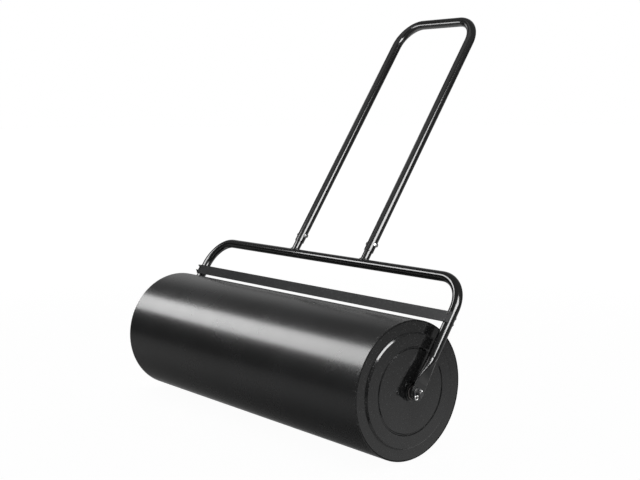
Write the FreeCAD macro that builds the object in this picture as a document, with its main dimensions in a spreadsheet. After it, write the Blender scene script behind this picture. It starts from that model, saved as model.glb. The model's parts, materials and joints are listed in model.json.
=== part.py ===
import FreeCAD, Part
import os
import Sketcher

# Push lawn roller: a hollow steel drum that is filled with water or sand,
# turning on a through rod that is held in a one-piece bent tube yoke, with a
# U-shaped push handle bolted to two spigots on the yoke's crossbar.
#
# Row frame: +Z up, +X along the drum's axle, +Y towards the user, who walks
# behind the handle. The origin is on the ground under the middle of the drum.
#
# The yoke, the handle and everything bolted to them lie in one leaning plane.
# Their own frames have x along the axle, z up the lean and y square to that
# plane towards the back, with the zero on the axle's centre line.

os.makedirs("parts", exist_ok=True)
doc = FreeCAD.newDocument("lawn_roller")

# ---------------------------------------------------------------- the sheet
DIMS = [
    # drum
    ("drum_radius", 152.5), ("drum_half", 451.0), ("shell_wall", 1.5),
    ("cap_wall", 1.6), ("cap_flange", 15.0), ("cap_corner", 2.0),
    ("cap_rise", 5.0), ("step_outer", 125.6), ("step_inner", 123.2),
    ("bead_radius", 93.5), ("bead_half", 2.8), ("bead_depth", 2.0),
    ("bead_floor", 0.9), ("cap_blend", 1.2),
    # hub and axle
    ("rod_radius", 6.35), ("rod_half", 490.0), ("rod_chamfer", 1.5),
    ("centre_tube_radius", 16.0), ("centre_tube_wall", 2.0), ("centre_tube_half", 466.0),
    ("hub_ring_radius", 21.0), ("hub_ring_end", 465.0), ("hub_ring_chamfer", 1.2),
    ("bush_clearance", 0.08), ("bush_length", 32.0), ("bush_flange_radius", 14.9),
    ("bush_flange_end", 467.5), ("axial_gap", 0.4),
    ("washer_radius", 12.0), ("washer_wall", 2.5), ("washer_bore", 6.6),
    ("pin_station", 483.0), ("pin_hole_radius", 2.3), ("pin_radius", 2.0),
    ("pin_turn", 35.0), ("pin_eye_radius", 3.9), ("pin_eye_wire", 1.6),
    ("pin_leg_wire", 1.4), ("pin_leg_sweep", 62.0),
    # filler opening on the far end cap
    ("plug_orbit", 139.0), ("plug_angle", 101.0), ("neck_radius", 10.0),
    ("neck_depth", 14.0), ("neck_bore", 7.4), ("plug_stem_radius", 7.1),
    ("plug_stem", 12.0), ("plug_head_radius", 9.8), ("plug_head", 5.0),
    ("seal_wall", 1.5), ("seal_radius", 9.4), ("seal_bore", 7.2),
    ("plug_slot", 2.4), ("plug_slot_depth", 2.2),
    # yoke
    ("lean", 34.3), ("yoke_half", 474.0), ("yoke_radius", 11.5), ("yoke_wall", 2.0),
    ("yoke_reach", 272.0), ("yoke_bend", 73.0), ("squash_top", 84.0),
    ("squash_low", 21.0), ("paddle_half", 18.0), ("paddle_wall", 5.0),
    ("paddle_bore", 6.6),
    # scraper bar
    ("scraper_right", 486.0), ("scraper_left", 479.5), ("scraper_middle", 176.2), ("scraper_width", 25.0),
    ("scraper_wall", 3.0), ("screw_spread", 7.5), ("screw_radius", 2.0),
    ("screw_hole", 2.2), ("screw_head_radius", 4.2), ("screw_head", 1.2),
    ("screw_nut_flats", 7.0), ("screw_nut", 3.2), ("screw_tail", 2.0),
    ("screw_tail_left", 5.0),
    # handle
    ("spigot_radius", 10.0), ("spigot_wall", 2.0), ("spigot_top", 372.0),
    ("weld_leg", 2.6), ("handle_half", 133.5), ("handle_radius", 12.0),
    ("handle_wall", 1.9), ("handle_low", 306.0), ("handle_top", 990.0),
    ("handle_bend", 67.0), ("bolt_station", 325.0), ("bolt_radius", 3.0),
    ("bolt_hole", 3.2), ("bolt_flats", 10.0), ("bolt_head", 4.0),
    ("bolt_tail", 1.5), ("nut_height", 5.0), ("flat_washer_radius", 6.0),
    ("flat_washer_wall", 1.0),
]
sheet = doc.addObject("Spreadsheet::Sheet", "Dims")
VALUE = {}
for row, (alias, value) in enumerate(DIMS, start=1):
    sheet.set("A%d" % row, alias.replace("_", " "))
    sheet.set("B%d" % row, repr(value))
    sheet.setAlias("B%d" % row, alias)
    VALUE[alias] = value
doc.recompute()


class Dim:
    """A size and the sheet expression that gives it."""

    def __init__(self, value, text):
        self.value = float(value)
        self.text = text

    def __add__(self, other):
        other = dim(other)
        return Dim(self.value + other.value, "(%s + %s)" % (self.text, other.text))

    def __sub__(self, other):
        other = dim(other)
        return Dim(self.value - other.value, "(%s - %s)" % (self.text, other.text))

    def __mul__(self, other):
        other = dim(other)
        return Dim(self.value * other.value, "(%s * %s)" % (self.text, other.text))

    def __neg__(self):
        return Dim(-self.value, "(-1 * %s)" % self.text)

    __radd__ = __add__
    __rmul__ = __mul__

    def __rsub__(self, other):
        return dim(other) - self


def dim(thing):
    if isinstance(thing, Dim):
        return thing
    if isinstance(thing, str):
        return Dim(VALUE[thing], "Dims." + thing)
    return Dim(thing, repr(float(thing)))


def bind(obj, prop, thing):
    obj.setExpression(prop, dim(thing).text)


# ------------------------------------------------------------ small helpers
def new_body(label):
    body = doc.addObject("PartDesign::Body", label)
    body.Label = label
    return body


def origin_plane(body, role):
    for item in body.Origin.OriginFeatures:
        if item.Role == role:
            return item
    raise RuntimeError("no plane " + role)


def new_sketch(body, name, role, offset=None):
    sketch = body.newObject("Sketcher::SketchObject", name)
    sketch.AttachmentSupport = [(origin_plane(body, role), "")]
    sketch.MapMode = "FlatFace"
    if offset is not None:
        sketch.AttachmentOffset = FreeCAD.Placement(
            FreeCAD.Vector(0, 0, dim(offset).value), FreeCAD.Rotation())
        sketch.setExpression(".AttachmentOffset.Base.z", dim(offset).text)
    return sketch


def fix_point(sketch, geo, pos, px=None, py=None):
    for kind, axis, value in (("DistanceX", -2, px), ("DistanceY", -1, py)):
        if value is None:
            continue
        value = dim(value)
        if abs(value.value) < 1e-9:
            sketch.addConstraint(Sketcher.Constraint("PointOnObject", geo, pos, axis))
        else:
            index = sketch.addConstraint(
                Sketcher.Constraint(kind, -1, 1, geo, pos, value.value))
            sketch.setExpression("Constraints[%d]" % index, value.text)


def polygon(sketch, points):
    """Closed outline of straight edges through points given as sheet sizes."""
    flat = [(dim(a), dim(b)) for a, b in points]
    first = sketch.GeometryCount
    count = len(flat)
    for k in range(count):
        a, b = flat[k], flat[(k + 1) % count]
        sketch.addGeometry(Part.LineSegment(
            FreeCAD.Vector(a[0].value, a[1].value, 0),
            FreeCAD.Vector(b[0].value, b[1].value, 0)), False)
    for k in range(count):
        sketch.addConstraint(Sketcher.Constraint(
            "Coincident", first + k, 2, first + (k + 1) % count, 1))
    for k in range(count):
        fix_point(sketch, first + k, 1, flat[k][0], flat[k][1])


def circle(sketch, cx, cy, radius):
    cx, cy, radius = dim(cx), dim(cy), dim(radius)
    geo = sketch.addGeometry(Part.Circle(
        FreeCAD.Vector(cx.value, cy.value, 0), FreeCAD.Vector(0, 0, 1), radius.value), False)
    fix_point(sketch, geo, 3, cx, cy)
    index = sketch.addConstraint(Sketcher.Constraint("Radius", geo, radius.value))
    sketch.setExpression("Constraints[%d]" % index, radius.text)


def revolve(body, name, points):
    """Solid of revolution about the body's x axis from (x, radius) points."""
    sketch = new_sketch(body, name + "_outline", "XY_Plane")
    polygon(sketch, points)
    feature = body.newObject("PartDesign::Revolution", name)
    feature.Profile = sketch
    feature.ReferenceAxis = (sketch, ["H_Axis"])
    feature.Angle = 360.0
    doc.recompute()
    return feature


def pad(body, sketch, name, length, midplane=False, reverse=False):
    feature = body.newObject("PartDesign::Pad", name)
    feature.Profile = sketch
    feature.Length = dim(length).value
    bind(feature, "Length", length)
    if midplane:
        feature.SideType = "Symmetric"
    feature.Reversed = reverse
    doc.recompute()
    return feature


def pocket(body, sketch, name, length, reverse=False):
    """Cuts both ways from the sketch, and makes sure that something went."""
    before = body.Shape.Volume
    feature = body.newObject("PartDesign::Pocket", name)
    feature.Profile = sketch
    feature.Length = dim(length).value
    bind(feature, "Length", length)
    feature.SideType = "Symmetric"
    doc.recompute()
    if before - feature.Shape.Volume < 1.0:
        raise RuntimeError("%s cut nothing" % name)
    return feature


def ring_edges(shape, radius, station, tolerance=0.05):
    """Names of the circular edges of one radius at one x station."""
    names = []
    for index, edge in enumerate(shape.Edges, start=1):
        curve = edge.Curve
        if hasattr(curve, "Radius") and abs(curve.Radius - radius) < tolerance \
                and abs(curve.Center.x - station) < tolerance:
            names.append("Edge%d" % index)
    return names


def stand(obj, at=(0, 0, 0), lean=False):
    """Places a sub-part: axle height for the zero, leaning plane if asked."""
    obj.setExpression(".Placement.Base.z", "Dims.drum_radius")
    if lean:
        obj.Placement = FreeCAD.Placement(
            FreeCAD.Vector(0, 0, VALUE["drum_radius"]),
            FreeCAD.Rotation(FreeCAD.Vector(1, 0, 0), -VALUE["lean"]))
        obj.setExpression(".Placement.Rotation.Angle", "-1 * Dims.lean")


NODES = []


def keep(obj):
    NODES.append(obj)
    return obj


# --------------------------------------------------------------------- drum
R = dim("drum_radius")
HALF = dim("drum_half")

# Rolled steel sheet, open at both ends until the caps go in.
drum_shell = keep(new_body("drum_shell"))
lip = 0.5
revolve(drum_shell, "shell_roll", [
    (-HALF, R - dim("shell_wall")), (-HALF, R - lip), (-HALF + lip, R),
    (HALF - lip, R), (HALF, R - lip), (HALF, R - dim("shell_wall"))])
stand(drum_shell)


def end_cap(label, side):
    """Pressed steel end: turned-in flange, flat rim, raised middle, stiffening bead."""
    body = new_body(label)
    face = HALF
    top = HALF + dim("cap_rise")
    wall = dim("cap_wall")
    inner = R - dim("shell_wall")
    bead = dim("bead_radius")
    half = dim("bead_half")
    floor = dim("bead_floor")
    outline = [
        (face - dim("cap_flange"), inner),
        (face - dim("cap_corner"), inner),
        (face - dim("cap_corner") * 0.3, inner - dim("cap_corner") * 0.3),
        (face, inner - dim("cap_corner")),
        (face, dim("step_outer")),
        (top, dim("step_inner")),
        (top, bead + half),
        (top - dim("bead_depth"), bead + floor),
        (top - dim("bead_depth"), bead - floor),
        (top, bead - half),
        (top, dim("centre_tube_radius")),
        (top - wall, dim("centre_tube_radius")),
        (top - wall, bead - half - 0.6),
        (top - dim("bead_depth") - wall, bead - floor - 0.6),
        (top - dim("bead_depth") - wall, bead + floor + 0.6),
        (top - wall, bead + half + 0.6),
        (top - wall, dim("step_inner") - wall),
        (face - wall, dim("step_outer") - wall),
        (face - wall, inner - wall),
        (face - dim("cap_flange"), inner - wall)]
    revolve(body, label + "_press", [(a * side, b) for a, b in outline])
    shape = body.Shape
    names = []
    for radius, station in ((VALUE["step_outer"], VALUE["drum_half"]),
                            (VALUE["step_inner"], VALUE["drum_half"] + VALUE["cap_rise"])):
        names += ring_edges(shape, radius, side * station)
    if names:
        press = body.Tip
        blend = body.newObject("PartDesign::Fillet", label + "_blend")
        blend.Base = (press, names)
        blend.Radius = VALUE["cap_blend"]
        bind(blend, "Radius", "cap_blend")
        doc.recompute()
    return body


right_end_cap = keep(end_cap("right_end_cap", 1.0))
stand(right_end_cap)

left_end_cap = keep(end_cap("left_end_cap", -1.0))
# Opening for the filler neck.
opening = new_sketch(left_end_cap, "filler_opening", "YZ_Plane", -(HALF))

angle = FreeCAD.Rotation(FreeCAD.Vector(0, 0, 1), VALUE["plug_angle"]).multVec(FreeCAD.Vector(1, 0, 0))
PLUG_Y = Dim(VALUE["plug_orbit"] * angle.x, "(Dims.plug_orbit * cos(Dims.plug_angle * 1 deg))")
PLUG_Z = Dim(VALUE["plug_orbit"] * angle.y, "(Dims.plug_orbit * sin(Dims.plug_angle * 1 deg))")
circle(opening, PLUG_Y, PLUG_Z, "neck_bore")
pocket(left_end_cap, opening, "filler_cut", 8.0)
stand(left_end_cap)

# Sealed tube from cap to cap, which keeps the filling off the axle.
centre_tube = keep(new_body("centre_tube"))
tube_r = dim("centre_tube_radius")
tube_half = dim("centre_tube_half")
revolve(centre_tube, "centre_roll", [
    (-tube_half, tube_r - dim("centre_tube_wall")), (-tube_half, tube_r),
    (tube_half, tube_r), (tube_half, tube_r - dim("centre_tube_wall"))])
stand(centre_tube)


def hub_ring(label, side):
    """Welded collar that ties the end cap to the centre tube."""
    body = new_body(label)
    inner = HALF + dim("cap_rise")
    revolve(body, label + "_turn", [(a * side, b) for a, b in [
        (inner, tube_r), (inner, dim("hub_ring_radius")),
        (dim("hub_ring_end") - dim("hub_ring_chamfer"), dim("hub_ring_radius")),
        (dim("hub_ring_end"), dim("hub_ring_radius") - dim("hub_ring_chamfer")),
        (dim("hub_ring_end"), tube_r)]])
    stand(body)
    return body


keep(hub_ring("right_hub_ring", 1.0))
keep(hub_ring("left_hub_ring", -1.0))


def hub_bush(label, side):
    """Nylon bush pressed in the end of the centre tube; the drum turns on it."""
    body = new_body(label)
    bore = dim("rod_radius") + dim("bush_clearance")
    seat = tube_r - dim("centre_tube_wall")
    revolve(body, label + "_turn", [(a * side, b) for a, b in [
        (tube_half - dim("bush_length"), bore), (tube_half - dim("bush_length"), seat),
        (tube_half, seat), (tube_half, dim("bush_flange_radius")),
        (dim("bush_flange_end"), dim("bush_flange_radius")),
        (dim("bush_flange_end"), bore)]])
    stand(body)
    return body


keep(hub_bush("right_hub_bush", 1.0))
keep(hub_bush("left_hub_bush", -1.0))

# Threaded neck welded behind the filler opening of the far cap.
filler_neck = keep(new_body("filler_neck"))
outline = new_sketch(filler_neck, "neck_ring", "YZ_Plane", -(HALF - dim("cap_wall")))
circle(outline, PLUG_Y, PLUG_Z, "neck_radius")
circle(outline, PLUG_Y, PLUG_Z, "neck_bore")
pad(filler_neck, outline, "neck_turn", "neck_depth")
stand(filler_neck)

# Slotted plug that screws into the neck.
filler_plug = keep(new_body("filler_plug"))
outline = new_sketch(filler_plug, "head_ring", "YZ_Plane", -(HALF + dim("seal_wall") + dim("plug_head")))
circle(outline, PLUG_Y, PLUG_Z, "plug_head_radius")
pad(filler_plug, outline, "plug_head", "plug_head")
outline = new_sketch(filler_plug, "stem_ring", "YZ_Plane", -(HALF + dim("seal_wall")))
circle(outline, PLUG_Y, PLUG_Z, "plug_stem_radius")
pad(filler_plug, outline, "plug_stem", dim("plug_stem") + dim("seal_wall"))
outline = new_sketch(filler_plug, "slot_outline", "YZ_Plane", -(HALF + dim("seal_wall") + dim("plug_head")))
polygon(outline, [
    (PLUG_Y - 7.0, PLUG_Z - dim("plug_slot") * 0.5), (PLUG_Y + 7.0, PLUG_Z - dim("plug_slot") * 0.5),
    (PLUG_Y + 7.0, PLUG_Z + dim("plug_slot") * 0.5), (PLUG_Y - 7.0, PLUG_Z + dim("plug_slot") * 0.5)])
pocket(filler_plug, outline, "coin_slot", dim("plug_slot_depth") * 2.0)
stand(filler_plug)

plug_seal = keep(new_body("plug_seal"))
outline = new_sketch(plug_seal, "seal_ring", "YZ_Plane", -(HALF + dim("seal_wall")))
circle(outline, PLUG_Y, PLUG_Z, "seal_radius")
circle(outline, PLUG_Y, PLUG_Z, "seal_bore")
pad(plug_seal, outline, "seal_turn", "seal_wall")
stand(plug_seal)

# --------------------------------------------------------------------- axle
ROD = dim("rod_radius")
axle_rod = keep(new_body("axle_rod"))
rod_end = dim("rod_half")
cut = dim("rod_chamfer")
revolve(axle_rod, "rod_turn", [
    (-rod_end, 0), (-rod_end, ROD - cut), (-rod_end + cut, ROD),
    (rod_end - cut, ROD), (rod_end, ROD - cut), (rod_end, 0)])
# Cross holes for the split pins, square to the tilted pin line.
before = axle_rod.Shape.Volume
holes = new_sketch(axle_rod, "pin_holes", "XZ_Plane")
circle(holes, "pin_station", 0, "pin_hole_radius")
circle(holes, -dim("pin_station"), 0, "pin_hole_radius")
pocket(axle_rod, holes, "pin_drill", ROD * 4.0)
stand(axle_rod)
axle_rod.Placement = FreeCAD.Placement(
    FreeCAD.Vector(0, 0, VALUE["drum_radius"]),
    FreeCAD.Rotation(FreeCAD.Vector(1, 0, 0), VALUE["pin_turn"]))
axle_rod.setExpression(".Placement.Rotation.Angle", "Dims.pin_turn")


def split_pin(label, side):
    """Split pin: eye on the front, both legs wrapped round the rod at the back."""
    station = dim("pin_station") * side
    shank = doc.addObject("Part::Cylinder", label + "_shank")
    bind(shank, "Radius", "pin_radius")
    shank.Radius = VALUE["pin_radius"]
    length = ROD * 2.0 + 4.4
    shank.Height = length.value
    bind(shank, "Height", length)
    shank.Placement = FreeCAD.Placement(
        FreeCAD.Vector(station.value, -(ROD.value + 2.2), 0),
        FreeCAD.Rotation(FreeCAD.Vector(1, 0, 0), -90))
    shank.setExpression(".Placement.Base.x", station.text)
    eye = doc.addObject("Part::Torus", label + "_eye")
    eye.Radius1 = VALUE["pin_eye_radius"]
    eye.Radius2 = VALUE["pin_eye_wire"]
    bind(eye, "Radius1", "pin_eye_radius")
    bind(eye, "Radius2", "pin_eye_wire")
    eye.Placement = FreeCAD.Placement(
        FreeCAD.Vector(station.value, -(ROD.value + 2.2 + VALUE["pin_eye_radius"]), 0),
        FreeCAD.Rotation(FreeCAD.Vector(0, 1, 0), 90))
    eye.setExpression(".Placement.Base.x", station.text)
    legs = []
    for name, turn in (("upper", 90.0), ("lower", -90.0)):
        leg = doc.addObject("Part::Torus", "%s_%s_leg" % (label, name))
        leg.Radius1 = ROD.value + 1.75
        leg.Radius2 = VALUE["pin_leg_wire"]
        bind(leg, "Radius1", ROD + 1.75)
        bind(leg, "Radius2", "pin_leg_wire")
        leg.Angle3 = VALUE["pin_leg_sweep"]
        bind(leg, "Angle3", "pin_leg_sweep")
        # The ring lies square to the rod, with its start on the back of it.
        spin = FreeCAD.Rotation(FreeCAD.Vector(0, 1, 0), 90).multiply(
            FreeCAD.Rotation(FreeCAD.Vector(0, 0, 1), 90.0))
        if name == "lower":
            spin = FreeCAD.Rotation(FreeCAD.Vector(1, 0, 0), -VALUE["pin_leg_sweep"]).multiply(spin)
        leg.Placement = FreeCAD.Placement(FreeCAD.Vector(station.value, 0, 0), spin)
        leg.setExpression(".Placement.Base.x", station.text)
        legs.append(leg)
    whole = doc.addObject("Part::MultiFuse", label)
    whole.Label = label
    whole.Shapes = [shank, eye] + legs
    doc.recompute()
    whole.Placement = FreeCAD.Placement(
        FreeCAD.Vector(0, 0, VALUE["drum_radius"]),
        FreeCAD.Rotation(FreeCAD.Vector(1, 0, 0), VALUE["pin_turn"]))
    whole.setExpression(".Placement.Base.z", "Dims.drum_radius")
    return whole


keep(split_pin("right_split_pin", 1.0))
keep(split_pin("left_split_pin", -1.0))


def washer(label, side, inner, outer):
    """Flat steel ring round the rod between two x stations."""
    body = new_body(label)
    revolve(body, label + "_turn", [(a * side, b) for a, b in [
        (inner, dim("washer_bore")), (inner, dim("washer_radius") - 0.4),
        (inner + 0.4, dim("washer_radius")), (outer - 0.4, dim("washer_radius")),
        (outer, dim("washer_radius") - 0.4), (outer, dim("washer_bore"))]])
    stand(body)
    return body


arm = dim("yoke_half")
leaf = dim("paddle_wall") * 0.5
for label, side in (("right_spacer", 1.0), ("left_spacer", -1.0)):
    keep(washer(label, side, dim("bush_flange_end") + dim("axial_gap"), arm - leaf))
for label, side in (("right_washer", 1.0), ("left_washer", -1.0)):
    keep(washer(label, side, arm + leaf, arm + leaf + dim("washer_wall")))

# --------------------------------------------------------------------- yoke
YR = dim("yoke_radius")
REACH = dim("yoke_reach")
BEND = dim("yoke_bend")
SQ_TOP = dim("squash_top")
SQ_LOW = dim("squash_low")


def u_path(sketch, half, low, top, bend):
    """Open U: two legs, two quarter bends and a straight top."""
    half, low, top, bend = dim(half), dim(low), dim(top), dim(bend)
    V = FreeCAD.Vector
    points = [(-half, low), (-half, top - bend), (-half + bend, top),
              (half - bend, top), (half, top - bend), (half, low)]

    def vec(p):
        return V(p[0].value, p[1].value, 0)

    sketch.addGeometry(Part.LineSegment(vec(points[0]), vec(points[1])), False)
    c1 = V((-half + bend).value, (top - bend).value, 0)
    c2 = V((half - bend).value, (top - bend).value, 0)
    pi = 3.141592653589793
    sketch.addGeometry(Part.ArcOfCircle(Part.Circle(c1, V(0, 0, 1), bend.value), pi / 2, pi), False)
    sketch.addGeometry(Part.LineSegment(vec(points[2]), vec(points[3])), False)
    sketch.addGeometry(Part.ArcOfCircle(Part.Circle(c2, V(0, 0, 1), bend.value), 0, pi / 2), False)
    sketch.addGeometry(Part.LineSegment(vec(points[4]), vec(points[5])), False)
    C = Sketcher.Constraint
    sketch.addConstraint(C("Coincident", 0, 2, 1, 2))
    sketch.addConstraint(C("Coincident", 1, 1, 2, 1))
    sketch.addConstraint(C("Coincident", 2, 2, 3, 2))
    sketch.addConstraint(C("Coincident", 3, 1, 4, 1))
    fix_point(sketch, 0, 1, points[0][0], points[0][1])
    fix_point(sketch, 0, 2, points[1][0], points[1][1])
    fix_point(sketch, 2, 1, points[2][0], points[2][1])
    fix_point(sketch, 2, 2, points[3][0], points[3][1])
    fix_point(sketch, 4, 1, points[4][0], points[4][1])
    fix_point(sketch, 4, 2, points[5][0], points[5][1])
    for geo in (1, 3):
        index = sketch.addConstraint(C("Radius", geo, bend.value))
        sketch.setExpression("Constraints[%d]" % index, bend.text)


def oval(sketch, cx, half_x, half_y):
    """Closed section of four edges: a circle when the halves agree, else a flat slot in y."""
    cx, half_x, half_y = dim(cx), dim(half_x), dim(half_y)
    V = FreeCAD.Vector
    C = Sketcher.Constraint
    pi = 3.141592653589793
    x0, a, b = cx.value, half_x.value, half_y.value
    n = sketch.GeometryCount
    if abs(a - b) < 1e-6:
        # A circle in four arcs, split where the slot below turns its corners.
        circ = Part.Circle(V(x0, 0, 0), V(0, 0, 1), a)
        for k in range(4):
            start = pi / 4 + k * pi / 2
            sketch.addGeometry(Part.ArcOfCircle(circ, start, start + pi / 2), False)
        for k in range(4):
            sketch.addConstraint(C("Coincident", n + k, 2, n + (k + 1) % 4, 1))
        for k in range(1, 4):
            sketch.addConstraint(C("Coincident", n + k, 3, n, 3))
        fix_point(sketch, n, 3, cx, 0)
        index = sketch.addConstraint(C("Radius", n, a))
        sketch.setExpression("Constraints[%d]" % index, half_x.text)
        step = half_x * 0.7071067811865476
        for k, way in enumerate((1.0, -1.0, -1.0, 1.0)):
            fix_point(sketch, n + k, 1, cx + step * way)
    else:
        flat = half_y - half_x
        f = flat.value
        # End round at +y, flat side at -x, end round at -y, flat side at +x.
        sketch.addGeometry(Part.ArcOfCircle(Part.Circle(V(x0, f, 0), V(0, 0, 1), a), 0, pi), False)
        sketch.addGeometry(Part.LineSegment(V(x0 - a, f, 0), V(x0 - a, -f, 0)), False)
        sketch.addGeometry(Part.ArcOfCircle(Part.Circle(V(x0, -f, 0), V(0, 0, 1), a), pi, 2 * pi), False)
        sketch.addGeometry(Part.LineSegment(V(x0 + a, -f, 0), V(x0 + a, f, 0)), False)
        for k in range(4):
            sketch.addConstraint(C("Coincident", n + k, 2, n + (k + 1) % 4, 1))
        fix_point(sketch, n + 1, 1, cx - half_x, flat)
        fix_point(sketch, n + 1, 2, cx - half_x, -flat)
        fix_point(sketch, n + 3, 1, cx + half_x, -flat)
        fix_point(sketch, n + 3, 2, cx + half_x, flat)
        fix_point(sketch, n, 3, None, flat)
        fix_point(sketch, n + 2, 3, None, -flat)


def bent_tube(body, name, half, low, top, bend, radius, wall):
    path = new_sketch(body, name + "_line", "XZ_Plane")
    u_path(path, half, low, top, bend)
    ring = new_sketch(body, name + "_ring", "XY_Plane", low)
    oval(ring, -dim(half), radius, radius)
    bore = dim(radius) - dim(wall)
    oval(ring, -dim(half), bore, bore)
    pipe = body.newObject("PartDesign::AdditivePipe", name + "_bend")
    pipe.Profile = ring
    pipe.Spine = (path, ["Edge1", "Edge2", "Edge3", "Edge4", "Edge5"])
    doc.recompute()
    return pipe


yoke_tube = keep(new_body("yoke_tube"))
bent_tube(yoke_tube, "yoke", arm, SQ_TOP, REACH, BEND, YR, "yoke_wall")
for tag, side in (("right", 1.0), ("left", -1.0)):
    upper = new_sketch(yoke_tube, tag + "_round", "XY_Plane", SQ_TOP)
    oval(upper, arm * side, YR, YR)
    lower = new_sketch(yoke_tube, tag + "_flat", "XY_Plane", SQ_LOW)
    oval(lower, arm * side, leaf, "paddle_half")
    # Stations between the two, eased so that the flattening starts and ends gently.
    between = []
    for step in (0.2, 0.4, 0.6, 0.8):
        ease = step * step * (3.0 - 2.0 * step)
        station = new_sketch(yoke_tube, "%s_station_%d" % (tag, round(step * 10)), "XY_Plane",
                             SQ_TOP - (SQ_TOP - SQ_LOW) * step)
        oval(station, arm * side, YR - (YR - leaf) * ease, YR - (YR - dim("paddle_half")) * ease)
        between.append(station)
    squash = yoke_tube.newObject("PartDesign::AdditiveLoft", tag + "_squash")
    squash.Profile = upper
    squash.Sections = between + [lower]
    squash.Ruled = False
    doc.recompute()
for tag, side in (("right", 1.0), ("left", -1.0)):
    # Flat end of the tube, pressed shut, with rounded edges all along.
    flat_end = new_sketch(yoke_tube, tag + "_flat_end", "XY_Plane", 0)
    oval(flat_end, arm * side, leaf, "paddle_half")
    pad(yoke_tube, flat_end, tag + "_paddle", SQ_LOW)
for tag, side in (("right", 1.0), ("left", -1.0)):
    # Round nose about the axle: half of the same section, turned half round.
    nose = new_sketch(yoke_tube, tag + "_nose_half", "XY_Plane", 0)
    cx = arm * side
    flat = dim("paddle_half") - leaf
    V = FreeCAD.Vector
    x0, a, f = cx.value, leaf.value, flat.value
    nose.addGeometry(Part.LineSegment(V(x0 - a, 0, 0), V(x0 + a, 0, 0)), False)
    nose.addGeometry(Part.LineSegment(V(x0 + a, 0, 0), V(x0 + a, f, 0)), False)
    nose.addGeometry(Part.ArcOfCircle(
        Part.Circle(V(x0, f, 0), V(0, 0, 1), a), 0, 3.141592653589793), False)
    nose.addGeometry(Part.LineSegment(V(x0 - a, f, 0), V(x0 - a, 0, 0)), False)
    for k in range(4):
        nose.addConstraint(Sketcher.Constraint("Coincident", k, 2, (k + 1) % 4, 1))
    fix_point(nose, 0, 1, cx - leaf, 0)
    fix_point(nose, 0, 2, cx + leaf, 0)
    fix_point(nose, 1, 2, cx + leaf, flat)
    fix_point(nose, 3, 1, cx - leaf, flat)
    fix_point(nose, 2, 3, None, flat)
    before = yoke_tube.Shape.Volume
    turn = yoke_tube.newObject("PartDesign::Revolution", tag + "_nose")
    turn.Profile = nose
    turn.ReferenceAxis = (nose, ["H_Axis"])
    turn.Angle = 180.0
    turn.Reversed = True
    doc.recompute()
    if turn.Shape.Volume - before < 100.0 or turn.Shape.BoundBox.ZMin > -VALUE["paddle_half"] + 0.1:
        raise RuntimeError("nose went the wrong way")
# Inside of each squash: the bore narrows to a slit.
for tag, side in (("right", 1.0), ("left", -1.0)):
    before = yoke_tube.Shape.Volume
    upper = new_sketch(yoke_tube, tag + "_bore_round", "XY_Plane", SQ_TOP)
    oval(upper, arm * side, YR - dim("yoke_wall"), YR - dim("yoke_wall"))
    lower = new_sketch(yoke_tube, tag + "_bore_slit", "XY_Plane", SQ_LOW + 5.0)
    oval(lower, arm * side, 0.4, dim("paddle_half") - 3.5)
    hollow = yoke_tube.newObject("PartDesign::SubtractiveLoft", tag + "_hollow")
    hollow.Profile = upper
    hollow.Sections = [lower]
    doc.recompute()
    if before - hollow.Shape.Volume < 100.0:
        raise RuntimeError("squash was not hollowed")

# Axle holes through both paddles, and screw holes for the scraper bar.
holes = new_sketch(yoke_tube, "axle_holes", "YZ_Plane")
circle(holes, 0, 0, "paddle_bore")
pocket(yoke_tube, holes, "axle_drill", (arm + leaf) * 2.0 + 10.0)
holes = new_sketch(yoke_tube, "screw_holes", "XZ_Plane")
for side in (1.0, -1.0):
    for lift in (1.0, -1.0):
        circle(holes, arm * side, dim("scraper_middle") + dim("screw_spread") * lift, "screw_hole")
pocket(yoke_tube, holes, "screw_drill", YR * 4.0)
stand(yoke_tube, lean=True)

# ------------------------------------------------------------------ spigots
SPR = dim("spigot_radius")
HH = dim("handle_half")


def spigot(label, side):
    """Short tube, coped to the crossbar, that the handle's leg slides over."""
    body = new_body(label)
    ring = new_sketch(body, label + "_ring", "XY_Plane", REACH)
    circle(ring, HH * side, 0, SPR)
    circle(ring, HH * side, 0, SPR - dim("spigot_wall"))
    pad(body, ring, label + "_tube", dim("spigot_top") - REACH)
    cope = new_sketch(body, label + "_cope", "YZ_Plane", HH * side)
    circle(cope, 0, REACH, YR)
    pocket(body, cope, label + "_coping", SPR * 4.0)
    drill = new_sketch(body, label + "_bolt_hole", "YZ_Plane", HH * side)
    circle(drill, 0, "bolt_station", "bolt_hole")
    pocket(body, drill, label + "_drill", SPR * 4.0)
    stand(body, lean=True)
    return body


keep(spigot("right_spigot", 1.0))
keep(spigot("left_spigot", -1.0))


def primitive(kind, name, sizes, place, turn=None):
    obj = doc.addObject(kind, name)
    for prop, value in sizes.items():
        setattr(obj, prop, dim(value).value)
        bind(obj, prop, value)
    rotation = FreeCAD.Rotation() if turn is None else FreeCAD.Rotation(FreeCAD.Vector(*turn[0]), turn[1])
    obj.Placement = FreeCAD.Placement(
        FreeCAD.Vector(*[dim(v).value for v in place]), rotation)
    for letter, value in zip("xyz", place):
        if isinstance(value, Dim):
            obj.setExpression(".Placement.Base." + letter, value.text)
    return obj


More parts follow.
